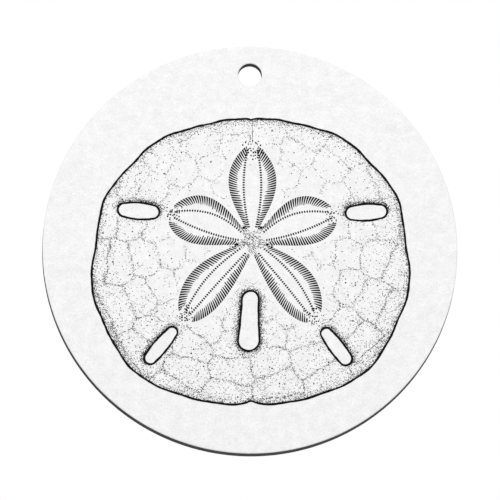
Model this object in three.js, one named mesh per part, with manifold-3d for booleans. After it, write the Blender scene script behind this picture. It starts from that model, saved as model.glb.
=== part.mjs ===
// Round hanging board disc, die-cut from laminated board, with one hang hole near its upper edge.
// Millimetres, +Z up. The disc hangs upright: X is across it, Z is up, and its printed face looks along -Y.
// The origin is on the hang hole's axis, half way through the board.

import * as THREE from 'three';
import { mergeVertices } from 'three/addons/utils/BufferGeometryUtils.js';
import Module from 'manifold-3d';

const DISC_DIAMETER = 101.6;
const BOARD_THICKNESS = 4;
const HOLE_DIAMETER = 5.8;
const HOLE_ABOVE_CENTRE = 43.7;
// The die draws the printed face down over its edge, and leaves the back edge almost sharp.
const FRONT_ROUNDING = 0.4;
const BACK_ROUNDING = 0.15;

const DISC_SEGMENTS = 144;
const HOLE_SEGMENTS = 48;
const FRONT_ROUNDING_STEPS = 4;
const BACK_ROUNDING_STEPS = 2;
// How far the hole's cutter stands out of each face before it is cut away.
const CUTTER_REACH = 1;

const discRadius = DISC_DIAMETER / 2;
const holeRadius = HOLE_DIAMETER / 2;
const halfThickness = BOARD_THICKNESS / 2;

// Points of a rounded edge, as (radius, height) pairs. `side` is 1 where material is inside the radius and
// -1 where it is outside, and `face` is 1 at the front face and -1 at the back.
function roundedEdge(radius, side, face, rounding, steps) {
  const points = [];
  for (let i = 0; i <= steps; i += 1) {
    const angle = (i / steps) * (Math.PI / 2);
    points.push(new THREE.Vector2(
      radius - side * rounding * (1 - Math.cos(angle)),
      face * (halfThickness - rounding * (1 - Math.sin(angle))),
    ));
  }
  return points;
}

// The disc's half section, from the middle of the back, round the cut edge, to the middle of the front.
function discProfile() {
  return [
    new THREE.Vector2(0, -halfThickness),
    ...roundedEdge(discRadius, 1, -1, BACK_ROUNDING, BACK_ROUNDING_STEPS).reverse(),
    ...roundedEdge(discRadius, 1, 1, FRONT_ROUNDING, FRONT_ROUNDING_STEPS),
    new THREE.Vector2(0, halfThickness),
  ];
}

// The hole's half section, flared at both faces as the edges of the punched hole are.
function holeProfile() {
  const back = roundedEdge(holeRadius, -1, -1, BACK_ROUNDING, BACK_ROUNDING_STEPS).reverse();
  const front = roundedEdge(holeRadius, -1, 1, FRONT_ROUNDING, FRONT_ROUNDING_STEPS);
  const reach = halfThickness + CUTTER_REACH;
  return [
    new THREE.Vector2(0, -reach),
    new THREE.Vector2(back[0].x, -reach),
    ...back,
    ...front,
    new THREE.Vector2(front[front.length - 1].x, reach),
    new THREE.Vector2(0, reach),
  ];
}

// A closed turned body about Y, its front towards -Y, with only shared positions left, ready to be cut.
function turned(profile, segments) {
  const geometry = new THREE.LatheGeometry(profile, segments);
  geometry.rotateX(Math.PI);
  geometry.deleteAttribute('normal');
  geometry.deleteAttribute('uv');
  return mergeVertices(geometry, 1e-5);
}

const wasm = await Module();
wasm.setup();

function toManifold(geometry) {
  return new wasm.Manifold(new wasm.Mesh({
    numProp: 3,
    vertProperties: new Float32Array(geometry.attributes.position.array),
    triVerts: new Uint32Array(geometry.index.array),
  }));
}

function toGeometry(solid) {
  const mesh = solid.getMesh();
  const geometry = new THREE.BufferGeometry();
  geometry.setAttribute('position', new THREE.BufferAttribute(mesh.vertProperties, 3));
  geometry.setIndex(new THREE.BufferAttribute(mesh.triVerts, 1));
  geometry.computeVertexNormals();
  return geometry;
}

// The board is moved down from the hole's axis, and the hole is punched out of it.
function boardDisc() {
  const board = turned(discProfile(), DISC_SEGMENTS);
  board.translate(0, 0, -HOLE_ABOVE_CENTRE);
  const cutter = turned(holeProfile(), HOLE_SEGMENTS);

  const material = new THREE.MeshStandardMaterial({ color: 0xf0f0f0, roughness: 0.85, metalness: 0 });
  const mesh = new THREE.Mesh(toGeometry(toManifold(board).subtract(toManifold(cutter))), material);
  mesh.name = 'board_disc';
  return mesh;
}

const group = new THREE.Group();
group.add(boardDisc());

export default group;
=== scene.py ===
import math

import bpy
import numpy as np
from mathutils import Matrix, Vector


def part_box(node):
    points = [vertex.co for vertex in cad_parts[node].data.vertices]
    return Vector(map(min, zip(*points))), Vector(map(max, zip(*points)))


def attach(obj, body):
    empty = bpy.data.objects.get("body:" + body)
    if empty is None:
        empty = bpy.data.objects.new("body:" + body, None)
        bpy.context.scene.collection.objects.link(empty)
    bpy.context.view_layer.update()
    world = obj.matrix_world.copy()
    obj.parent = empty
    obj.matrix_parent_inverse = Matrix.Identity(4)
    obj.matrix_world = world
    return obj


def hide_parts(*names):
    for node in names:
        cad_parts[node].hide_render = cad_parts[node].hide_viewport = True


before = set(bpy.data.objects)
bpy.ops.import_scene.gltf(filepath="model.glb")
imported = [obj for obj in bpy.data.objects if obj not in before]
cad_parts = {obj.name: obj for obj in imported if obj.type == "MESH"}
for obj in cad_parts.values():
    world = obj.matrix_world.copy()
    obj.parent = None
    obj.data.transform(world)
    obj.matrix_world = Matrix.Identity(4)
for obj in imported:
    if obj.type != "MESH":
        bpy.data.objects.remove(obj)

bl_info = {
    "name": "Round hanging board disc",
    "version": (1, 0, 0),
    "blender": (4, 5, 0),
    "location": "3D View > Sidebar > Board Disc",
    "description": "A die-cut round board disc with a hang hole and a printed sand dollar",
    "category": "Add Mesh",
}

MM = 0.001
NODE = "board_disc"
PIECE = "printed_board_disc"
CAD_LOW, CAD_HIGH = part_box(NODE)
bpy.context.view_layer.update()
# The disc's centre hangs this far below the hole's axis, which is the origin.
HOLE_ABOVE_CENTRE = -(CAD_LOW[2] + CAD_HIGH[2]) / 2


def linear(hex_colour):
    """An sRGB hex colour as linear red, green and blue."""
    parts = [int(hex_colour[i : i + 2], 16) / 255 for i in (0, 2, 4)]
    return tuple(c / 12.92 if c <= 0.04045 else ((c + 0.055) / 1.055) ** 2.4 for c in parts)


class BoardSizes(bpy.types.PropertyGroup):
    """Sizes of the board itself."""

    diameter: bpy.props.FloatProperty(
        name="Diameter", description="Across the round disc", unit="LENGTH",
        default=CAD_HIGH[0] - CAD_LOW[0],
    )
    thickness: bpy.props.FloatProperty(
        name="Thickness", description="Through the board, papers and core together", unit="LENGTH",
        default=CAD_HIGH[1] - CAD_LOW[1],
    )
    hole_diameter: bpy.props.FloatProperty(
        name="Hole diameter", description="Across the punched hang hole", unit="LENGTH",
        default=5.8 * MM,
    )
    front_rounding: bpy.props.FloatProperty(
        name="Front rounding", description="Radius that the die leaves on the printed side's edges",
        unit="LENGTH", default=0.3 * MM,
    )
    back_rounding: bpy.props.FloatProperty(
        name="Back rounding", description="Radius of the back's sharper edges", unit="LENGTH",
        default=0.12 * MM,
    )
    relief: bpy.props.FloatProperty(
        name="Face relief", description="How far the pressed pulp rises and falls across a face",
        unit="LENGTH", default=0.03 * MM,
    )
    cut: bpy.props.FloatProperty(
        name="Cut roughness", description="How far the torn fibres stand out of the cut edge",
        unit="LENGTH", default=0.05 * MM,
    )


class BoardColours(bpy.types.PropertyGroup):
    """Colours of the board and its ink."""

    paper: bpy.props.FloatVectorProperty(
        name="Paper", description="White paper of both faces", subtype="COLOR", size=3,
        default=linear("f0f0f0"),
    )
    # The core's colour is partly its own dark grey and partly painted shade: it is darker than grey
    # board is, so that the lower rim shows as dark as a shaded edge.
    core: bpy.props.FloatVectorProperty(
        name="Core", description="Dark grey board that shows on the cut edge", subtype="COLOR",
        size=3, default=linear("363636"),
    )
    ink: bpy.props.FloatVectorProperty(
        name="Ink", description="Black printing ink", subtype="COLOR", size=3,
        default=linear("060606"),
    )


class PenSizes(bpy.types.PropertyGroup):
    """Sizes of the strokes and dots that the figure is drawn with."""

    outline: bpy.props.FloatProperty(
        name="Outline", description="Width of the line round the figure and its slots",
        unit="LENGTH", default=0.55 * MM,
    )
    # The real petal strokes and pores are about 0.5 mm apart. These are coarser, so that they show.
    stroke_pitch: bpy.props.FloatProperty(
        name="Stroke pitch", description="From one petal stroke to the next", unit="LENGTH",
        default=0.65 * MM,
    )
    pore_pitch: bpy.props.FloatProperty(
        name="Pore pitch", description="From one dot of a petal's pore row to the next",
        unit="LENGTH", default=0.62 * MM,
    )
    fine_dot: bpy.props.FloatProperty(
        name="Fine dot", description="Across one fine stipple dot", unit="LENGTH",
        default=0.2 * MM,
    )
    coarse_dot: bpy.props.FloatProperty(
        name="Coarse dot", description="Across one coarse stipple dot", unit="LENGTH",
        default=0.34 * MM,
    )


class StageSettings(bpy.types.PropertyGroup):
    """Floor, light and camera."""

    floor: bpy.props.FloatVectorProperty(
        name="Floor", description="Colour of the plain floor", subtype="COLOR", size=3,
        default=linear("e6e6e6"),
    )
    drop: bpy.props.FloatProperty(
        name="Floor drop", description="From the disc's lowest point down to the floor",
        unit="LENGTH", default=65 * MM,
    )
    azimuth: bpy.props.FloatProperty(
        name="Azimuth", description="Camera's turn about the disc, negative to its left",
        subtype="ANGLE", default=math.radians(-1.7),
    )
    elevation: bpy.props.FloatProperty(
        name="Elevation", description="Camera's height as an angle, negative below the disc",
        subtype="ANGLE", default=math.radians(-11.5),
    )
    key: bpy.props.FloatProperty(
        name="Key light", description="Power of the soft light in front and above", unit="POWER",
        default=4.2,
    )
    surroundings: bpy.props.FloatProperty(
        name="Surroundings", description="Strength of the light from the white studio all round",
        default=0.72,
    )


def add(tree, kind, *values, out=0, named=None, **settings):
    """Adds a node with its settings, sets or links its inputs, and returns one of its outputs."""
    made = tree.nodes.new(kind)
    for key, value in settings.items():
        setattr(made, key, value)
    for key, value in [*enumerate(values), *(named or {}).items()]:
        if isinstance(value, bpy.types.NodeSocket):
            tree.links.new(value, made.inputs[key])
        elif value is not None:
            made.inputs[key].default_value = value
    return made.outputs[out] if len(made.outputs) else made


# The board: one closed tube round its hole

SEGMENTS = 448
ROUNDING_STEPS = 5
FRONT_SPACING = 0.4 * MM
BACK_SPACING = 1.6 * MM
CUT_SPACING = 0.2 * MM
PULP_GRAIN = 3 * MM
PLY_LENGTH = 2.5 * MM
PLY_DEPTH = 0.45 * MM
# How far normals point through the board: on cut edges less than the first, on faces more than both.
CUT_TO_FACE = (0.4, 0.9)
SOCKETS = {float: "NodeSocketFloat", int: "NodeSocketInt", bpy.types.Material: "NodeSocketMaterial"}
SEED = 7


def board_tree(sizes, papers_and_core):
    """Geometry Nodes that sweep the board's section round the hole and slide the rings to the rim,
    and the values of their inputs.

    The board with its hole is one closed tube. Its section runs from the hole's wall out to the rim, so
    each ring is a circle, and the rings' centres slide from the hole's axis to the disc's. While it is
    made the board lies flat, its front up and its hole at the origin. The last node stands it up.
    """
    tree = bpy.data.node_groups.new("Board disc", "GeometryNodeTree")
    tree.interface.new_socket("Geometry", in_out="OUTPUT", socket_type="NodeSocketGeometry")
    front, core, back = papers_and_core
    values = {
        "Diameter": sizes.diameter,
        "Thickness": sizes.thickness,
        "Hole Diameter": sizes.hole_diameter,
        "Hole Above Centre": HOLE_ABOVE_CENTRE,
        "Front Rounding": sizes.front_rounding,
        "Back Rounding": sizes.back_rounding,
        "Face Relief": sizes.relief,
        "Cut Roughness": sizes.cut,
        "Front Spacing": FRONT_SPACING,
        "Back Spacing": BACK_SPACING,
        "Cut Spacing": CUT_SPACING,
        "Segments": SEGMENTS,
        "Seed": SEED,
        "Front Paper": front,
        "Core": core,
        "Back Paper": back,
    }
    for name, value in values.items():
        tree.interface.new_socket(name, in_out="INPUT", socket_type=SOCKETS[type(value)])
    given = tree.nodes.new("NodeGroupInput").outputs
    half_thickness = add(tree, "ShaderNodeMath", given["Thickness"], 0.5, operation="MULTIPLY")
    hole_radius = add(tree, "ShaderNodeMath", given["Hole Diameter"], 0.5, operation="MULTIPLY")
    radius = add(tree, "ShaderNodeMath", given["Diameter"], 0.5, operation="MULTIPLY")
    width = add(tree, "ShaderNodeMath", radius, hole_radius, operation="SUBTRACT")
    here = add(tree, "GeometryNodeInputPosition")

    # The section is a rectangle from 0 at the hole's wall to the board's width at the rim. The sweep
    # turns its lower side to the board's front.
    section = add(tree, "GeometryNodeCurvePrimitiveQuadrilateral", width, given["Thickness"])
    half_width = add(tree, "ShaderNodeMath", width, 0.5, operation="MULTIPLY")
    section = add(tree, "GeometryNodeSetPosition", section,
                  named={"Offset": add(tree, "ShaderNodeCombineXYZ", half_width)})
    at_front = add(tree, "FunctionNodeCompare", add(tree, "ShaderNodeSeparateXYZ", here, out="Y"), 0.0,
                   operation="LESS_THAN")
    rounding = add(tree, "GeometryNodeSwitch", at_front, given["Back Rounding"],
                   given["Front Rounding"], input_type="FLOAT")
    section = add(tree, "GeometryNodeFilletCurve", section, ROUNDING_STEPS, rounding, mode="POLY")

    # Each straight stretch of the section is divided as finely as its side needs. The rise is -1 along
    # the front, 0 on the cut edges and 1 along the back.
    after = add(tree, "GeometryNodeOffsetPointInCurve", named={"Offset": 1}, out="Point Index")
    there = add(tree, "GeometryNodeFieldAtIndex", here, after, data_type="FLOAT_VECTOR")
    length = add(tree, "ShaderNodeVectorMath", here, there, operation="DISTANCE", out="Value")
    middle = add(tree, "ShaderNodeVectorMath", here, there, operation="ADD")
    rise = add(tree, "ShaderNodeMath", add(tree, "ShaderNodeSeparateXYZ", middle, out="Y"),
               given["Thickness"], operation="DIVIDE")
    on_front = add(tree, "FunctionNodeCompare", rise, -0.5, operation="LESS_THAN")
    on_back = add(tree, "FunctionNodeCompare", rise, 0.5, operation="GREATER_THAN")
    spacing = add(tree, "GeometryNodeSwitch", on_front, given["Cut Spacing"],
                  given["Front Spacing"], input_type="FLOAT")
    spacing = add(tree, "GeometryNodeSwitch", on_back, spacing, given["Back Spacing"],
                  input_type="FLOAT")
    cuts = add(tree, "ShaderNodeMath", length, spacing, operation="DIVIDE")
    section = add(tree, "GeometryNodeSubdivideCurve", section,
                  add(tree, "FunctionNodeFloatToInt", cuts, rounding_mode="FLOOR"))

    # The sweep round the hole, and the slide of each ring's centre towards the disc's.
    hole = add(tree, "GeometryNodeCurvePrimitiveCircle", given["Segments"],
               named={"Radius": hole_radius})
    board = add(tree, "GeometryNodeCurveToMesh", hole, section)
    flat = add(tree, "ShaderNodeVectorMath", here, (1, 1, 0), operation="MULTIPLY")
    ring = add(tree, "ShaderNodeVectorMath", flat, operation="LENGTH", out="Value")
    first = add(tree, "ShaderNodeMath", hole_radius, given["Front Rounding"])
    last = add(tree, "ShaderNodeMath", radius, given["Front Rounding"], operation="SUBTRACT")
    down = add(tree, "ShaderNodeMath", given["Hole Above Centre"], -1.0, operation="MULTIPLY")
    slide = add(tree, "ShaderNodeMapRange", ring, first, last, 0.0, down)
    board = add(tree, "GeometryNodeSetPosition", board,
                named={"Offset": add(tree, "ShaderNodeCombineXYZ", 0.0, slide)})

    # Pressed pulp on the faces and torn fibres on the cut edges stand out along the normal.
    normal = add(tree, "GeometryNodeInputNormal")
    facing = add(tree, "ShaderNodeMath", add(tree, "ShaderNodeSeparateXYZ", normal, out="Z"),
                 operation="ABSOLUTE")
    grains = add(tree, "ShaderNodeVectorMath", here, (1 / PULP_GRAIN,) * 3, operation="MULTIPLY")
    pulp = add(tree, "ShaderNodeTexNoise", grains, given["Seed"], noise_dimensions="4D",
               named={"Scale": 1.0, "Detail": 2.0})
    fibres = add(tree, "ShaderNodeVectorMath", here,
                 (1 / PLY_LENGTH, 1 / PLY_LENGTH, 1 / PLY_DEPTH), operation="MULTIPLY")
    torn = add(tree, "ShaderNodeTexNoise", fibres, given["Seed"], noise_dimensions="4D",
               named={"Scale": 1.0, "Detail": 2.0})
    rough = add(tree, "ShaderNodeMapRange", facing, *CUT_TO_FACE, torn, pulp)
    depth = add(tree, "ShaderNodeMapRange", facing, *CUT_TO_FACE, given["Cut Roughness"],
                given["Face Relief"])
    lift = add(tree, "ShaderNodeMath", rough, 0.5, operation="SUBTRACT")
    lift = add(tree, "ShaderNodeMath", lift, depth, operation="MULTIPLY")
    offset = add(tree, "ShaderNodeVectorMath", normal, operation="SCALE", named={"Scale": lift})
    board = add(tree, "GeometryNodeSetPosition", board, named={"Offset": offset})

    # The papers reach round the rounded edges, and the core, darkened as painted shade, shows between
    # them.
    board = add(tree, "GeometryNodeSetShadeSmooth", board)
    board = add(tree, "GeometryNodeTransform", board, named={"Rotation": (math.pi / 2, 0, 0)})
    board = add(tree, "GeometryNodeRealizeInstances", board)
    through = add(tree, "ShaderNodeSeparateXYZ", here, out="Y")
    front_ends = add(tree, "ShaderNodeMath", given["Front Rounding"], half_thickness,
                     operation="SUBTRACT")
    back_starts = add(tree, "ShaderNodeMath", half_thickness, given["Back Rounding"],
                      operation="SUBTRACT")
    past_front = add(tree, "FunctionNodeCompare", through, front_ends, operation="GREATER_THAN")
    past_core = add(tree, "FunctionNodeCompare", through, back_starts, operation="GREATER_THAN")
    board = add(tree, "GeometryNodeSetMaterial", board, None, given["Front Paper"])
    board = add(tree, "GeometryNodeSetMaterial", board, past_front, given["Core"])
    board = add(tree, "GeometryNodeSetMaterial", board, past_core, given["Back Paper"])
    add(tree, "NodeGroupOutput", board)
    return tree, values


def grow_board(tree, values):
    """Runs the tree on an empty object and returns its result as a plain mesh."""
    holder = bpy.data.objects.new("board under way", bpy.data.meshes.new("board under way"))
    bpy.context.scene.collection.objects.link(holder)
    modifier = holder.modifiers.new("Board disc", "NODES")
    modifier.node_group = tree
    for item in tree.interface.items_tree:
        if item.in_out == "INPUT":
            modifier[item.identifier] = values[item.name]
    grown = holder.evaluated_get(bpy.context.evaluated_depsgraph_get())
    mesh = bpy.data.meshes.new_from_object(grown)
    holder.modifiers.clear()
    bpy.data.objects.remove(holder)
    return mesh


# The figure: a keyhole sand dollar by textbook anatomy. Its petals and lunules are the same on the left
# and on the right, but its outline, plates and dots are uneven. Its lengths are in millimetres from its
# apex, with x to the side and z up, and its angles are degrees from straight up. A span of two numbers
# says where a share starts to grow and where it is full.

APEX = (0.6, 2.4)  # from the disc's centre
# The test's outline, as a mean radius and the cosines of 1 to 5 times the angle, and how far it is off
# the apex to the side.
OUTLINE = (37.7, -5.85, -1.25, 0.25, -0.7, 0.25)
OUTLINE_SHIFT = -0.35
# Its uneven ripples, as height, count round the outline and phase in degrees.
RIPPLES = ((0.28, 2, 90), (0.26, 10, -6), (0.19, 12, 173), (0.08, 29, 0))
# Notches where the midline meets the outline, as angle, depth and width along the outline.
NOTCHES = ((0, 0.5, 0.8), (180, 1.1, 2.0))
# Below the apex the petals and lunules lean this far to the left for each millimetre down.
LEAN = 0.036
# Petals, as direction, base, tip, half width, where they are widest, how blunt they are (lower is
# blunter) and how far they bow towards the front.
PETALS = (
    (0, 2.7, 23.5, 5.9, 0.58, 0.7, 0.0),
    (71.8, 2.7, 21.0, 6.15, 0.62, 0.54, 0.8),
    (140.5, 2.9, 24.9, 5.35, 0.6, 0.5, 0.9),
)
# A petal's half width follows this stretch of a sine's arch, so that it is open at base and tip.
PETAL_ARCH = (0.05, 0.95)
# The depth of the band of strokes along a petal's edge, the part of that at the petal's base, the part
# of it lost towards the tip, and the depth past base and tip, which is too little to show.
STROKE_BAND, BAND_AT_BASE, BAND_LOST, NO_BAND = 2.45, 0.48, 0.25, 0.01
BAND_GROWS, BAND_SHRINKS = (0.02, 0.42), (0.8, 1)
# How far the strokes lean towards the base for each millimetre inward, in general and near the base.
STROKE_LEAN, STROKE_LEAN_AT_BASE, LEANS_MORE = 0.42, 0.9, (0.4, 0)
# Each petal's pore row, as its greatest distance from the midline and the stretch of a sine's arch
# that it follows, how blunt that arch is, and the stretch of the petal that the row fills.
PORE_ROWS = ((2.15, 0.09, 0.86), (2.35, 0.1, 0.96), (1.45, 0.17, 0.9))
PORE_ROW_BLUNTNESS = 0.85
PORE_ROW_ENDS = (0.02, 0.96)
PETAL_STEPS = 81  # points of the path along a petal
PAST_PETAL = 3.0
# Lunules, the slots through the test, as centre, length, width, turn from level, bulge and taper.
LUNULES = (
    ((27.9, 7.2), 10.2, 3.4, 4, 0.4, 0.0),
    ((21.4, -26.3), 11.1, 2.95, -52, 0.3, 0.1),
    ((0.0, -19.8), 15.0, 4.7, -90, -0.1, 0.3),
)
GONOPORES = ((2.1, 3.2), (3.65, -1.05))
GONOPORE_WIDTH = 0.7
# A faint furrow runs on along the midline from this height to the outline.
FURROW_START = 24.6
# The plates lie in two columns to each tenth of the test, and neighbouring columns are staggered.
# They are moved about and their seams are bent by chance, which makes them uneven.
PLATE_COLUMNS = 20
PLATE_ROWS = 7
PLATE_START = 8.0
PLATE_LENGTH = 6.3
PLATE_JITTER = 0.95
PLATE_BEND = 0.22

# The share of the stipple's cells that get a dot, first at the rim, with the length it fades over.
RIM_DOTS, RIM_FADE = 0.66, 0.9
# The wider fade inside the rim: its share, and what it gains below, at the sides and at the front.
SKIRT_DOTS, SKIRT_FADE = (0.12, 0.12, 0.1, 0.2), 4.5
BELOW, BESIDE, IN_FRONT = (15, -35), (18, 36), (20, 30)
# The ground between: its share, and what it gains outward and outward below.
GROUND_DOTS = (0.004, 0.03, 0.14)
OUTWARD, OUTWARD_BELOW, CLEAR_OF_PETALS = (15, 38), (14, 30), (-0.2, -1.8)
# The star at the apex: its share, and its mean radius, how far its points stand out from that, the
# softness of its edge and the direction of a point.
STAR_DOTS, STAR = 0.72, (3.0, 0.9, 0.2, 36)
# The plates' seams: their share, what it gains outward, and the part of it that is left at the front.
SEAM_DOTS, SEAMS_IN_FRONT = (0.5, 0.3), 0.65
SEAMS_START, SEAMS_OUTWARD, SEAMS_BELOW = (9, 12), (12, 36), (25, -5)
SEAMS_CLEAR_OF_PETALS = (-0.6, -1.8)
# Coarse dots: strays, those round the end of each pore row, and the crest at the front petal's tip,
# which is given as height above the apex, half height and half width.
STRAY_DOTS, STRAYS_OUTWARD = 0.02, (10, 30)
TIP_DOTS, TIP_STARTS, TIP_ENDS, ROUND_PORE_ROW = 0.7, (0.82, 0.95), (1.12, 1.02), (-2.0, -0.4)
CREST_DOTS, CREST = 0.85, (22.2, 2.4, 1.15)


def smooth(low, high, value):
    """0 below low, 1 above high, and an S between them."""
    t = np.clip((value - low) / (high - low), 0, 1)
    return t * t * (3 - 2 * t)


def outline_gap(angle, reach):
    """How far inside the outline a point is, from its angle and its distance from the apex."""
    radius = sum(c * np.cos(k * angle) for k, c in enumerate(OUTLINE))
    for height, count, phase in RIPPLES:
        radius = radius + height * np.cos(count * angle - math.radians(phase))
    slope = -sum(k * c * np.sin(k * angle) for k, c in enumerate(OUTLINE))
    for at, depth, width in NOTCHES:
        along = (np.abs(angle) - math.radians(at)) * radius
        radius = radius - depth * np.exp(-np.abs(along / width))
    return (radius - reach) / np.hypot(1, slope / radius)


def nearest_on(path, x, z):
    """Each point's distance along a path of x, z rows and from it, and the path's length."""
    steps = np.hypot(*np.diff(path, axis=0).T)
    length = np.concatenate([[0], np.cumsum(steps)])
    best, along = np.full(x.shape, np.inf), np.zeros(x.shape)
    for (x0, z0), (x1, z1), start, step in zip(path, path[1:], length, steps):
        t = np.clip(((x - x0) * (x1 - x0) + (z - z0) * (z1 - z0)) / step**2, 0, 1)
        away = np.hypot(x - x0 - t * (x1 - x0), z - z0 - t * (z1 - z0))
        closer = away < best
        best = np.where(closer, away, best)
        along = np.where(closer, start + t * step, along)
    return along, best, length[-1]


def petal_half_width(share, half_width, widest, bluntness):
    """A petal's half width at a share of its length, narrow at its base and round at its tip."""
    first, last = PETAL_ARCH
    power = math.log((0.5 - first) / (last - first)) / math.log(widest)
    arch = first + (last - first) * np.clip(share, 0, 1) ** power
    return half_width * np.sin(np.pi * arch) ** bluntness


def petal_fields(x, z):
    """Where points of the right half are on the edge and the pore row of their nearest petal.

    Gives the distance along the edge, how far inside it the point is and the stroke band's depth there,
    then the distance along the pore row and from it, and last how far the point is from the petal's
    midline and along it.
    """
    fields = np.zeros((7, len(x)))
    angle = np.degrees(np.arctan2(x, z))
    directions = np.array([direction for direction, *_ in PETALS])
    owner = np.abs(angle[:, None] - directions[None, :]).argmin(1)
    share = np.linspace(0, 1, PETAL_STEPS)
    for index, (direction, base, tip, *form, bow) in enumerate(PETALS):
        mine = owner == index
        turn = math.radians(direction)
        up = x[mine] * math.sin(turn) + z[mine] * math.cos(turn)
        t = (up - base) / (tip - base)
        side = z[mine] * math.sin(turn) - x[mine] * math.cos(turn)
        side = np.abs(side - bow * np.sin(np.pi * np.clip(t, 0, 1)))
        # The edge is closed across the petal's open base and tip, where it has no strokes.
        edge = np.stack([petal_half_width(share, *form), base + share * (tip - base)], 1)
        closed = np.concatenate([[(0, base)], edge, [(0, tip)]])
        along, away, length = nearest_on(closed, side, up)
        within = (side < petal_half_width(t, *form)) & (t > 0) & (t < 1)
        inside = np.where(within, away, -away)
        first, last = edge[0, 0], length - edge[-1, 0]
        share_along = (along - first) / (last - first)
        band = BAND_AT_BASE + (1 - BAND_AT_BASE) * smooth(*BAND_GROWS, share_along)
        band = STROKE_BAND * band * (1 - BAND_LOST * smooth(*BAND_SHRINKS, share_along))
        band = np.where((share_along > 0) & (share_along < 1), band, NO_BAND)
        lean = (STROKE_LEAN_AT_BASE - STROKE_LEAN) * smooth(*LEANS_MORE, share_along) + STROKE_LEAN
        off, low, high = PORE_ROWS[index]
        row_side = off * np.sin(np.pi * (low + (high - low) * share)) ** PORE_ROW_BLUNTNESS
        row = np.stack([row_side, base + share * (tip - base)], 1)
        # The row runs straight on past both ends, so that distances from it stay true there.
        row = np.concatenate([[(row[0, 0], base - PAST_PETAL)], row, [(row[-1, 0], tip + PAST_PETAL)]])
        row_along, row_away, _ = nearest_on(row, side, up)
        row_gap = np.where(side < np.interp(up, row[:, 1], row[:, 0]), -row_away, row_away)
        fields[:, mine] = (along + lean * inside, inside, band, row_along, row_gap, side, t)
    return fields


def plate_distances(x, z, rng):
    """Distances to the nearest plate of each of three kinds. No two plates of a kind touch."""
    nearest = np.full((3, len(x)), np.inf)
    # Waves about 5 mm long bend the plane a little, and so the seams, which would be straight otherwise.
    x, z = (x + PLATE_BEND * np.sin(1.1 * z + 0.7 * x), z + PLATE_BEND * np.sin(x - 0.6 * z + 2))
    for column in range(PLATE_COLUMNS):
        for row in range(PLATE_ROWS):
            angle = 2 * math.pi * (column + 0.5) / PLATE_COLUMNS
            reach = PLATE_START + PLATE_LENGTH * (row + 0.5 * (column % 2))
            push = rng.uniform(-PLATE_JITTER, PLATE_JITTER, 2)
            away = np.hypot(x - reach * math.sin(angle) - push[0], z - reach * math.cos(angle) - push[1])
            kind = (column - row + column // 2) % 3
            nearest[kind] = np.minimum(nearest[kind], away)
    return nearest


def figure_fields(x, z):
    """What the pen follows, as five vectors for each point of the printed face.

    The first holds how far inside the outline the point is and the shares of fine and of coarse dots.
    The second holds the way along a petal's edge, the way inside it and the stroke band's depth. The
    third holds the way along a pore row, the way from it and a zero. The fourth holds the way from a
    petal's midline, the share of its length, and how strongly the plates' seams are drawn. The fifth
    holds the distances to the nearest plate of each kind.
    """
    rng = np.random.default_rng(SEED)
    side = np.abs(x + LEAN * np.maximum(-z, 0))
    angle, reach = np.arctan2(side, z), np.hypot(x, z)
    off_centre = x - OUTLINE_SHIFT
    inside = outline_gap(np.arctan2(off_centre, z), np.hypot(off_centre, z))
    along, depth, band, row_along, row_gap, off_middle, t = petal_fields(side, z)
    plates = plate_distances(x, z, rng)

    below = smooth(*BELOW, z)
    skirt, more_below, more_beside, more_in_front = SKIRT_DOTS
    skirt = skirt + more_below * below + more_beside * smooth(*BESIDE, side)
    skirt = skirt + more_in_front * smooth(*IN_FRONT, z)
    rim = RIM_DOTS * np.exp(-inside / RIM_FADE) + skirt * np.exp(-inside / SKIRT_FADE)
    ground, more_outward, more_outward_below = GROUND_DOTS
    ground = ground + more_outward * smooth(*OUTWARD, reach)
    ground = ground + more_outward_below * below * smooth(*OUTWARD_BELOW, reach)
    clear = smooth(*CLEAR_OF_PETALS, depth)
    fine = (1 - (1 - np.clip(rim, 0, 1)) * (1 - ground)) * clear
    radius, point, softness, direction = STAR
    star = radius + point * np.cos(5 * (angle - math.radians(direction)))
    fine = np.maximum(fine, STAR_DOTS * smooth(star + softness, star - softness, reach))

    seams, more_outward = SEAM_DOTS
    seams = seams + more_outward * smooth(*SEAMS_OUTWARD, reach)
    seams = seams * smooth(*SEAMS_CLEAR_OF_PETALS, depth) * smooth(*SEAMS_START, reach)
    seams = seams * (SEAMS_IN_FRONT + (1 - SEAMS_IN_FRONT) * smooth(*SEAMS_BELOW, z))

    tips = smooth(*TIP_STARTS, t) * smooth(*TIP_ENDS, t) * smooth(*ROUND_PORE_ROW, -np.abs(row_gap))
    height, half_height, half_width = CREST
    crest = np.exp(-(((z - height) / half_height) ** 2) - (side / half_width) ** 2)
    coarse = STRAY_DOTS * clear * smooth(*STRAYS_OUTWARD, reach)
    coarse = coarse + np.maximum(TIP_DOTS * tips, CREST_DOTS * crest)
    return (
        np.stack([inside, fine, coarse], 1),
        np.stack([along, depth, band], 1),
        np.stack([row_along, row_gap, np.zeros_like(t)], 1),
        np.stack([off_middle, t, seams], 1),
        plates.T,
    )


FIGURE_ATTRIBUTES = ("figure", "petal_edge", "pore_row", "lines", "plates")


def lay_out_figure(mesh):
    """Stores the figure's fields on the mesh's points, for the printed paper's material to read."""
    places = np.empty(len(mesh.vertices) * 3)
    mesh.vertices.foreach_get("co", places)
    places = places.reshape(-1, 3) / MM
    x = places[:, 0] - APEX[0]
    z = places[:, 2] + HOLE_ABOVE_CENTRE / MM - APEX[1]
    for name, field in zip(FIGURE_ATTRIBUTES, figure_fields(x, z)):
        layer = mesh.attributes.new(name, "FLOAT_VECTOR", "POINT")
        layer.data.foreach_set("vector", field.astype(np.float32).ravel())


# The map that the finished colours are kept on: the printed face is given most of it.

FRONT_ISLAND = (0.405, 0.405, 0.395)  # centre and radius
BACK_ISLAND = (0.815, 0.815, 0.178)
RIM_COLUMNS = 4
RIM_ISLAND = (0.83, 0.01, 0.55)  # left side, foot and height
COLUMN_WIDTH = 0.026
COLUMN_PITCH = 0.042
HOLE_ISLAND = (0.03, 0.88, 0.16)


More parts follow.
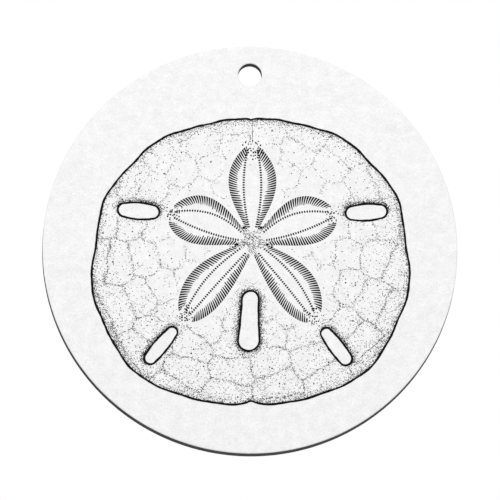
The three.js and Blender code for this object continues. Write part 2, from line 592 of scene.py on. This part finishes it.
def lay_out_map(mesh, sizes):
    """Lays the faces out flat, and the rim and the hole's wall in upright columns."""
    layer = mesh.uv_layers.new(name="OFBake")
    centre = Vector((0, 0, -HOLE_ABOVE_CENTRE))
    radius, thickness = sizes.diameter / 2, sizes.thickness
    # From the hole's axis this is half way between the hole's wall and the nearest rim.
    wall = (radius + sizes.hole_diameter / 2) / 2 - HOLE_ABOVE_CENTRE / 2
    turn = 2 * math.pi
    for polygon in mesh.polygons:
        on_paper = {0: FRONT_ISLAND, 2: BACK_ISLAND}.get(polygon.material_index)
        at_hole = polygon.center.xz.length < wall
        middle = polygon.center if at_hole else polygon.center - centre
        angle = math.atan2(middle.x, middle.z) % turn
        columns = 1 if at_hole else RIM_COLUMNS
        column = int(angle / turn * columns)
        left, foot, tall = HOLE_ISLAND if at_hole else RIM_ISLAND
        for loop in polygon.loop_indices:
            place = mesh.vertices[mesh.loops[loop].vertex_index].co
            flat = place - centre
            if on_paper:
                across, up, size = on_paper
                mirror = 1 if polygon.material_index == 0 else -1
                layer.uv[loop].vector = (across + mirror * flat.x / radius * size,
                                         up + flat.z / radius * size)
                continue
            arm = place if at_hole else flat
            here = math.atan2(arm.x, arm.z)
            here = angle + (here - angle + math.pi) % turn - math.pi
            layer.uv[loop].vector = (
                left + column * COLUMN_PITCH + (place.y / thickness + 0.5) * COLUMN_WIDTH,
                foot + tall * (here / turn * columns - column),
            )


# Materials

# Sizes and reliefs are in millimetres. A span of four numbers moves a value that lies between the
# first two to between the last two.
NOISE = (0.3, 0.7)  # where most of a noise's values lie
# Paper: its clouds, felt, fibres and specks, the parts that the first three have in it, and its shades.
CLOUD_SIZE, FELT_SIZE, FIBRE_SIZE, SPECK_PITCH = 2.4, 0.5, 0.8, 4.5
FIBRE_SLANT = 24  # degrees
PAPER_MIX = (0.3, 0.4, 0.3)
PAPER_SHADES, SPECK_SHADES = (*NOISE, 0.83, 1.11), (0.02, 0.04, 0.8, 1.0)
SOAKED = (*NOISE, 0.99, 1.0)  # the ink that it takes
# Core: the waves of its plies for each millimetre, its fuzz, the parts that both have, and its shades.
PLY_WAVES, FUZZ_SIZE = (0.35, 4.5, 0.35), 0.3
CORE_MIX, CORE_SHADES = (0.65, 0.35), (0.35, 0.65, 0.4, 1.9)
# Relief, roughness and specular level.
PRINT_RELIEF, PLAIN_RELIEF, CORE_RELIEF = 0.02, 0.025, 0.08
PRINT_ROUGHNESS, INK_ROUGHNESS, PLAIN_ROUGHNESS, CORE_ROUGHNESS = 0.86, 0.7, 0.88, 0.95
DRY_SHINE, INK_SHINE = 0.4, 0.03

INK_BLEED = 0.04  # how far a pen mark fades to either side of its edge
# Half a line's width where it is thin and where it swells, as parts of the pen's, and how often.
SWELL, SWELL_LENGTH = (0.38, 0.62), 2.2
# Half a stroke's width at its outer and inner end, as parts of the pitch, its length by chance as a
# part of the band, and the ink where it starts and ends.
STROKE_HALF_WIDTHS = (0.37, 0.19)
STROKE_LENGTHS = (0.0, 1.0, 0.86, 1.05)
STROKE_STARTS, STROKE_ENDS = (0.0, 0.08, 0.0, 1.0), (0.9, 1.0, 1.0, 0.0)
# Half a pore's width along its row, as a part of the pitch and as a part of that across the row.
PORE_HALF_WIDTH, PORE_SQUEEZE = 0.33, 0.65
# The petals' faint midlines and the furrow, as half width and ink.
MIDLINE, MIDLINE_INK = 0.03, (0.1, 0.75, 0.22, 0.0)
FURROW, FURROW_INK = 0.1, (0.4, 0.6, 0.5, 1.0)
# The stipple's cells, how uneven they are, the smallest and largest dot's radius as parts of a dot's
# width, how dots grow where they crowd, and where they start inside the outline.
FINE_CELL, SEAM_CELL, COARSE_CELL, CELL_RANDOMNESS = 0.36, 0.27, 0.6, 0.95
DOT_RADII, DOT_GROWTH = (0.35, 0.65), (0.4, 1.0, 1.0, 1.35)
DOTS_START = (0.0, 0.1, 0.0, 1.0)
# The chain of dots along a seam and the haze beside it, by how much nearer one plate's middle is than
# the next. The chain's dots have this part of a fine dot's width, and fill in dense stipple too.
SEAM_CHAIN, SEAM_HAZE = (0.15, 0.7, 1.0, 0.0), (0.5, 2.8, 0.23, 0.0)
SMALL_DOT, DENSE_DOTS = 0.9, (0.3, 1.0, 0.0, 0.9)
# The stipple round a lunule fades over this length, and weighs this much below and above it.
HALO_REACH, HALO_WEIGHTS = 0.65, (0.4, 2.4)


def new_material(name):
    """An empty material, its node tree, and the place on the piece in millimetres."""
    material = bpy.data.materials.new(name)
    material.use_nodes = True
    tree = material.node_tree
    tree.nodes.clear()
    coordinates = add(tree, "ShaderNodeTexCoord", out="Object")
    return material, tree, add(tree, "ShaderNodeVectorMath", coordinates, (1 / MM,) * 3,
                               operation="MULTIPLY")


def paper_tone(tree, place):
    """About 0.5, with the soft clouds, fine felt and short fibres of white pulp paper."""
    clouds = add(tree, "ShaderNodeTexNoise", place, named={"Scale": 1 / CLOUD_SIZE, "Detail": 3.0})
    felt = add(tree, "ShaderNodeTexNoise", place,
               named={"Scale": 1 / FELT_SIZE, "Detail": 2.0, "Roughness": 0.6, "Distortion": 0.6})
    slanted = add(tree, "ShaderNodeMapping", place,
                  named={"Rotation": (0, math.radians(FIBRE_SLANT), 0), "Scale": (1.0, 1.0, 3.0)})
    fibres = add(tree, "ShaderNodeTexNoise", slanted,
                 named={"Scale": 1 / FIBRE_SIZE, "Detail": 2.0, "Distortion": 1.4})
    of_clouds, of_felt, of_fibres = PAPER_MIX
    tone = add(tree, "ShaderNodeMath", clouds, of_clouds, operation="MULTIPLY")
    tone = add(tree, "ShaderNodeMath", felt, of_felt, tone, operation="MULTIPLY_ADD")
    return add(tree, "ShaderNodeMath", fibres, of_fibres, tone, operation="MULTIPLY_ADD")


def paper_colour(tree, place, tone, colours):
    """White paper, a little darker where its tone is low, with a rare speck."""
    shade = add(tree, "ShaderNodeMapRange", tone, *PAPER_SHADES)
    specks = add(tree, "ShaderNodeTexVoronoi", place, named={"Scale": 1 / SPECK_PITCH})
    speck = add(tree, "ShaderNodeMapRange", specks, *SPECK_SHADES)
    shade = add(tree, "ShaderNodeMath", shade, speck, operation="MULTIPLY")
    return add(tree, "ShaderNodeVectorMath", tuple(colours.paper), operation="SCALE",
               named={"Scale": shade})


def line(tree, distance, half_width):
    """1 within half a pen's width of a line, fading to 0 over the ink's bleed."""
    away = add(tree, "ShaderNodeMath", distance, operation="ABSOLUTE")
    edge = add(tree, "ShaderNodeMath", away, half_width, operation="SUBTRACT")
    return add(tree, "ShaderNodeMapRange", edge, -INK_BLEED, INK_BLEED, 1.0, 0.0)


def union(tree, mark, *others):
    """Marks laid over each other, which cover what any of them does."""
    for other in others:
        mark = add(tree, "ShaderNodeMath", mark, other, operation="MAXIMUM")
    return mark


def overlap(tree, mark, *masks):
    """What is left of a mark under all the masks."""
    for mask in masks:
        mark = add(tree, "ShaderNodeMath", mark, mask, operation="MULTIPLY")
    return mark


def stipple(tree, flat, share, cell, dot):
    """Dots scattered one to a cell, of which a share is drawn. They are larger where they crowd."""
    grains = {"Scale": 1 / cell, "Randomness": CELL_RANDOMNESS}
    smallest, largest = DOT_RADII
    voronoi = add(tree, "ShaderNodeTexVoronoi", flat, named=grains, voronoi_dimensions="2D").node
    chance = add(tree, "ShaderNodeSeparateColor", voronoi.outputs["Color"]).node.outputs
    away = add(tree, "ShaderNodeMath", voronoi.outputs["Distance"], cell, operation="MULTIPLY")
    size = add(tree, "ShaderNodeMapRange", chance["Green"], 0.0, 1.0, dot * smallest, dot * largest)
    crowd = add(tree, "ShaderNodeMapRange", share, *DOT_GROWTH)
    size = add(tree, "ShaderNodeMath", size, crowd, operation="MULTIPLY")
    drawn = add(tree, "ShaderNodeMath", chance["Red"], share, operation="LESS_THAN")
    return overlap(tree, line(tree, away, size), drawn)


def lunules(tree, right_half):
    """How far a point is outside the nearest lunule, and the share of dots that gather round it."""
    nearest, halos = None, []
    for centre, length, width, turn, bulge, taper in LUNULES:
        cos, sin = math.cos(math.radians(turn)), math.sin(math.radians(turn))
        half = (length - width) / 2
        offset = add(tree, "ShaderNodeVectorMath", right_half, (*centre, 0), operation="SUBTRACT")
        along = add(tree, "ShaderNodeVectorMath", offset, (cos, sin, 0), operation="DOT_PRODUCT",
                    out="Value")
        across = add(tree, "ShaderNodeVectorMath", offset, (-sin, cos, 0), operation="DOT_PRODUCT",
                     out="Value")
        held = add(tree, "ShaderNodeClamp", along, -half, half)
        past = add(tree, "ShaderNodeMath", along, held, operation="SUBTRACT")
        away = add(tree, "ShaderNodeCombineXYZ", past, across)
        away = add(tree, "ShaderNodeVectorMath", away, operation="LENGTH", out="Value")
        to_end = add(tree, "ShaderNodeMath", held, held, operation="MULTIPLY")
        radius = add(tree, "ShaderNodeMapRange", to_end, 0.0, half * half, width / 2 + bulge, width / 2)
        radius = add(tree, "ShaderNodeMath", held, taper / half, radius, operation="MULTIPLY_ADD")
        gap = add(tree, "ShaderNodeMath", away, radius, operation="SUBTRACT")
        # The dots gather mostly above and outside a lunule, and shade its edge there.
        fade = add(tree, "ShaderNodeMath", gap, -1 / HALO_REACH, operation="MULTIPLY")
        fade = add(tree, "ShaderNodeMath", fade, operation="EXPONENT")
        weight = add(tree, "ShaderNodeMapRange", across, -width / 2, width / 2, *HALO_WEIGHTS)
        halos.append(overlap(tree, fade, weight))
        nearest = add(tree, "ShaderNodeMath", nearest, gap, operation="MINIMUM") if nearest else gap
    return nearest, union(tree, *halos)


def figure_ink(tree, place, pen):
    """How much ink lies on each point of the printed face, from 0 to 1."""
    outline, stroke_pitch, pore_pitch, fine_dot, coarse_dot = (
        getattr(pen, name) / MM
        for name in ("outline", "stroke_pitch", "pore_pitch", "fine_dot", "coarse_dot")
    )
    read = [add(tree, "ShaderNodeAttribute", attribute_name=name, out="Vector")
            for name in FIGURE_ATTRIBUTES]
    figure, petal_edge, pore_row, lines, plates = (
        add(tree, "ShaderNodeSeparateXYZ", vector).node.outputs for vector in read
    )
    inside, fine, coarse = figure
    along, depth, band = petal_edge
    row_along, row_gap, _ = pore_row
    off_middle, share_out, seams = lines
    where = add(tree, "ShaderNodeSeparateXYZ", place).node.outputs
    flat = add(tree, "ShaderNodeCombineXYZ", where["X"], where["Z"])
    above_apex = add(tree, "ShaderNodeMath", where["Z"], HOLE_ABOVE_CENTRE / MM - APEX[1])
    below_apex = add(tree, "ShaderNodeMath", above_apex, 0.0, operation="MINIMUM")
    lean = add(tree, "ShaderNodeMath", below_apex, -LEAN, -APEX[0], operation="MULTIPLY_ADD")
    off_apex = add(tree, "ShaderNodeMath", where["X"], lean)
    off_apex = add(tree, "ShaderNodeMath", off_apex, operation="ABSOLUTE")
    right_half = add(tree, "ShaderNodeCombineXYZ", off_apex, above_apex)
    slots, halo = lunules(tree, right_half)

    # A pen's line swells and thins a little as it goes.
    hand = add(tree, "ShaderNodeTexNoise", flat, named={"Scale": 1 / SWELL_LENGTH, "Detail": 2.0})
    thin, swollen = SWELL
    swell = add(tree, "ShaderNodeMapRange", hand, *NOISE, outline * thin, outline * swollen)

    # Petal strokes are widest at their outer ends, and each has a length of its own.
    stroke = add(tree, "ShaderNodeMath", along, stroke_pitch, operation="DIVIDE")
    stroke = add(tree, "ShaderNodeMath", stroke, operation="ROUND")
    chance = add(tree, "ShaderNodeTexWhiteNoise", noise_dimensions="1D", named={"W": stroke})
    longest = add(tree, "ShaderNodeMapRange", chance, *STROKE_LENGTHS)
    reach = add(tree, "ShaderNodeMath", band, longest, operation="MULTIPLY")
    way_in = add(tree, "ShaderNodeMath", depth, reach, operation="DIVIDE")
    taper = add(tree, "ShaderNodeMath", way_in, way_in, operation="MULTIPLY")
    outer, inner = STROKE_HALF_WIDTHS
    thickness = add(tree, "ShaderNodeMapRange", taper, 0.0, 1.0, stroke_pitch * outer,
                    stroke_pitch * inner)
    from_stroke = add(tree, "ShaderNodeMath", along, stroke_pitch / 2, operation="PINGPONG")
    strokes = overlap(tree, line(tree, from_stroke, thickness),
                      add(tree, "ShaderNodeMapRange", depth, *STROKE_STARTS),
                      add(tree, "ShaderNodeMapRange", way_in, *STROKE_ENDS))

    # Pore rows are strings of dots, and the midlines are faint.
    from_pore = add(tree, "ShaderNodeMath", row_along, pore_pitch / 2, operation="PINGPONG")
    across_row = add(tree, "ShaderNodeMath", row_gap, PORE_SQUEEZE, operation="MULTIPLY")
    from_pore = add(tree, "ShaderNodeCombineXYZ", from_pore, across_row)
    from_pore = add(tree, "ShaderNodeVectorMath", from_pore, operation="LENGTH", out="Value")
    first, last = PORE_ROW_ENDS
    pores = overlap(tree, line(tree, from_pore, pore_pitch * PORE_HALF_WIDTH),
                    add(tree, "ShaderNodeMath", share_out, first, operation="GREATER_THAN"),
                    add(tree, "ShaderNodeMath", share_out, last, operation="LESS_THAN"))
    midlines = overlap(tree, line(tree, off_middle, MIDLINE),
                       add(tree, "ShaderNodeMapRange", share_out, *MIDLINE_INK))

    # Gonopores are four dots in the corners between the upper petals' bases.
    gonopores = []
    for x, z in GONOPORES:
        away = add(tree, "ShaderNodeVectorMath", right_half, (x, z, 0), operation="DISTANCE",
                   out="Value")
        gonopores.append(line(tree, away, GONOPORE_WIDTH / 2))

    # Stipple gathers along the plates' seams, which are as far from the nearest plate's middle as from
    # the next one's.
    one, two, three = plates
    low = add(tree, "ShaderNodeMath", one, two, operation="MINIMUM")
    high = add(tree, "ShaderNodeMath", one, two, operation="MAXIMUM")
    nearest = add(tree, "ShaderNodeMath", low, three, operation="MINIMUM")
    second = add(tree, "ShaderNodeMath", low, three, operation="MAXIMUM")
    second = add(tree, "ShaderNodeMath", second, high, operation="MINIMUM")
    seam = add(tree, "ShaderNodeMath", second, nearest, operation="SUBTRACT")
    along_seam = add(tree, "ShaderNodeMapRange", seam, *SEAM_CHAIN)
    haze = add(tree, "ShaderNodeMapRange", seam, *SEAM_HAZE)
    share = add(tree, "ShaderNodeMath", haze, seams, fine, operation="MULTIPLY_ADD")
    dense = add(tree, "ShaderNodeMapRange", fine, *DENSE_DOTS)
    small = union(tree, overlap(tree, along_seam, seams), halo, dense)
    furrow = overlap(tree, line(tree, off_apex, FURROW),
                     add(tree, "ShaderNodeMath", above_apex, FURROW_START, operation="GREATER_THAN"),
                     add(tree, "ShaderNodeMapRange", hand, *FURROW_INK))
    dots = union(tree, furrow, stipple(tree, flat, union(tree, share, halo), FINE_CELL, fine_dot),
                 stipple(tree, flat, coarse, COARSE_CELL, coarse_dot),
                 stipple(tree, flat, small, SEAM_CELL, fine_dot * SMALL_DOT))

    # All of it lies on the test alone, and so not in the lunules.
    on_test = add(tree, "ShaderNodeMath", inside, slots, operation="MINIMUM")
    dots = overlap(tree, dots, add(tree, "ShaderNodeMapRange", on_test, *DOTS_START))
    return union(tree, line(tree, inside, swell), line(tree, slots, swell), strokes, pores, midlines,
                 *gonopores, dots)


def printed_paper(colours, pen):
    """White pulp paper, softly mottled and matt, with black line work printed flush on it."""
    material, tree, place = new_material("printed white pulp paper")
    tone = paper_tone(tree, place)
    paper = paper_colour(tree, place, tone, colours)
    ink = figure_ink(tree, place, pen)
    # Dry ink lets a trace of the paper's mottle through, and reflects less than the paper does.
    ink = overlap(tree, ink, add(tree, "ShaderNodeMapRange", tone, *SOAKED))
    colour = add(tree, "ShaderNodeMix", data_type="RGBA", out=2,
                 named={0: ink, 6: paper, 7: (*colours.ink, 1)})
    roughness = add(tree, "ShaderNodeMapRange", ink, 0.0, 1.0, PRINT_ROUGHNESS, INK_ROUGHNESS)
    shine = add(tree, "ShaderNodeMapRange", ink, 0.0, 1.0, DRY_SHINE, INK_SHINE)
    finish_material(tree, colour, roughness, tone, PRINT_RELIEF * MM, shine)
    return material


def plain_paper(colours):
    """The same white pulp paper without print, for the back."""
    material, tree, place = new_material("plain white pulp paper")
    tone = paper_tone(tree, place)
    colour = paper_colour(tree, place, tone, colours)
    finish_material(tree, colour, PLAIN_ROUGHNESS, tone, PLAIN_RELIEF * MM)
    return material


def board_core(colours):
    """Dark grey pulp board where the die has cut it: dull and fibrous, with fine lines of plies. Its
    grey is darker than the board's own, as painted shade on the cut rim.
    """
    material, tree, place = new_material("dark grey pulp board core with painted shade")
    plies = add(tree, "ShaderNodeMapping", place, named={"Scale": PLY_WAVES})
    plies = add(tree, "ShaderNodeTexNoise", plies, named={"Scale": 1.0, "Detail": 3.0})
    fuzz = add(tree, "ShaderNodeTexNoise", place, named={"Scale": 1 / FUZZ_SIZE, "Detail": 3.0})
    of_plies, of_fuzz = CORE_MIX
    tone = add(tree, "ShaderNodeMath", plies, of_plies, operation="MULTIPLY")
    tone = add(tree, "ShaderNodeMath", fuzz, of_fuzz, tone, operation="MULTIPLY_ADD")
    shade = add(tree, "ShaderNodeMapRange", tone, *CORE_SHADES)
    colour = add(tree, "ShaderNodeVectorMath", tuple(colours.core), operation="SCALE",
                 named={"Scale": shade})
    finish_material(tree, colour, CORE_ROUGHNESS, tone, CORE_RELIEF * MM)
    return material


def finish_material(tree, colour, roughness, height, relief, shine=DRY_SHINE):
    """Joins colour, roughness and a bump of the given depth to a Principled shader."""
    bump = add(tree, "ShaderNodeBump", named={"Distance": relief, "Height": height})
    shader = add(tree, "ShaderNodeBsdfPrincipled",
                 named={"Base Color": colour, "Roughness": roughness, "Normal": bump,
                        "Specular IOR Level": shine})
    add(tree, "ShaderNodeOutputMaterial", shader)


# The stage, in metres

STAGE_WIDTH = 12.0
CAMERA_DISTANCE = 0.2
# The disc is this wide in a picture 500 wide, where the photograph's is 412.3 wide and as tall: seen
# from below it is a little shorter here, so it is made a little wider.
DISC_IN_PICTURE = 415 / 500
KEY_PLACE = (-0.05, -0.9, 0.45)  # from the disc's centre
KEY_SIZE = 0.6


def put_in_scene(name, data):
    """A new object for the data, in the scene."""
    made = bpy.data.objects.new(name, data)
    bpy.context.scene.collection.objects.link(made)
    return made


def look_at(thing, place, target):
    """Puts a light or camera in place, looking at the target with its top up."""
    thing.location = place
    thing.rotation_euler = (target - place).to_track_quat("-Z", "Y").to_euler()


class BOARD_DISC_OT_disc(bpy.types.Operator):
    """Adds the board disc with its printed face, cut edges and plain back"""

    bl_idname = "board_disc.add_disc"
    bl_label = "Board Disc"

    def execute(self, context):
        sizes, colours = context.scene.board_disc_sizes, context.scene.board_disc_colours
        materials = (
            printed_paper(colours, context.scene.board_disc_pen),
            board_core(colours),
            plain_paper(colours),
        )
        mesh = grow_board(*board_tree(sizes, materials))
        if [material.name for material in mesh.materials] != [m.name for m in materials]:
            raise RuntimeError("the board's papers and core came out in another order")
        lay_out_figure(mesh)
        lay_out_map(mesh, sizes)
        mesh.name = PIECE
        disc = put_in_scene(PIECE, mesh)
        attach(disc, "root")
        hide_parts(NODE)
        return {"FINISHED"}


class BOARD_DISC_OT_stage(bpy.types.Operator):
    """Adds the plain floor, the white surroundings, the soft light and the camera"""

    bl_idname = "board_disc.add_stage"
    bl_label = "Stage"

    def execute(self, context):
        stage, sizes = context.scene.board_disc_stage, context.scene.board_disc_sizes
        centre = Vector((0, 0, -HOLE_ABOVE_CENTRE))

        mesh = bpy.data.meshes.new("floor")
        half, level = STAGE_WIDTH / 2, centre.z - sizes.diameter / 2 - stage.drop
        corners = [(x * half, y * half, level) for x, y in ((-1, -1), (1, -1), (1, 1), (-1, 1))]
        mesh.from_pydata(corners, [], [(0, 1, 2, 3)])
        # The floor is plain and matt, and takes a soft shadow.
        material, tree, _ = new_material("matt pale floor")
        shader = add(tree, "ShaderNodeBsdfPrincipled",
                     named={"Base Color": (*stage.floor, 1), "Roughness": 0.9})
        add(tree, "ShaderNodeOutputMaterial", shader)
        mesh.materials.append(material)
        put_in_scene("floor", mesh)

        # The camera sees a white background, and the disc is lit less brightly than that.
        world = bpy.data.worlds.new("white studio")
        world.use_nodes = True
        tree = world.node_tree
        tree.nodes.clear()
        seen = add(tree, "ShaderNodeLightPath", out="Is Camera Ray")
        strength = add(tree, "ShaderNodeMapRange", seen, 0.0, 1.0, stage.surroundings, 1.0)
        add(tree, "ShaderNodeOutputWorld", add(tree, "ShaderNodeBackground", (1, 1, 1, 1), strength))
        context.scene.world = world

        key = bpy.data.lights.new("key", "AREA")
        key.energy, key.size = stage.key, KEY_SIZE
        look_at(put_in_scene("key", key), centre + Vector(KEY_PLACE), centre)

        camera = bpy.data.cameras.new("camera")
        camera.type = "ORTHO"
        camera.ortho_scale = sizes.diameter / DISC_IN_PICTURE
        target = centre - Vector((0, sizes.thickness / 2, 0))
        away = Vector((
            math.sin(stage.azimuth) * math.cos(stage.elevation),
            -math.cos(stage.azimuth) * math.cos(stage.elevation),
            math.sin(stage.elevation),
        ))
        seeing = put_in_scene("camera", camera)
        look_at(seeing, target + away * CAMERA_DISTANCE, target)
        context.scene.camera = seeing
        context.scene.view_settings.view_transform = "Standard"
        return {"FINISHED"}


class BOARD_DISC_PT_panel(bpy.types.Panel):
    """Sizes, colours and buttons for the board disc"""

    bl_label = "Board Disc"
    bl_space_type = "VIEW_3D"
    bl_region_type = "UI"
    bl_category = "Board Disc"

    def draw(self, context):
        for kind, name in SETTINGS.items():
            for field in kind.__annotations__:
                self.layout.prop(getattr(context.scene, name), field)
        for operator in OPERATORS:
            self.layout.operator(operator.bl_idname)


SETTINGS = {
    BoardSizes: "board_disc_sizes",
    BoardColours: "board_disc_colours",
    PenSizes: "board_disc_pen",
    StageSettings: "board_disc_stage",
}
OPERATORS = (BOARD_DISC_OT_disc, BOARD_DISC_OT_stage)
CLASSES = (*SETTINGS, *OPERATORS, BOARD_DISC_PT_panel)


def register():
    for kind in CLASSES:
        bpy.utils.register_class(kind)
    for kind, name in SETTINGS.items():
        setattr(bpy.types.Scene, name, bpy.props.PointerProperty(type=kind))


def unregister():
    for name in SETTINGS.values():
        delattr(bpy.types.Scene, name)
    for kind in reversed(CLASSES):
        bpy.utils.unregister_class(kind)


def main():
    register()
    bpy.ops.board_disc.add_disc()
    bpy.ops.board_disc.add_stage()


if __name__ == "__main__":
    main()
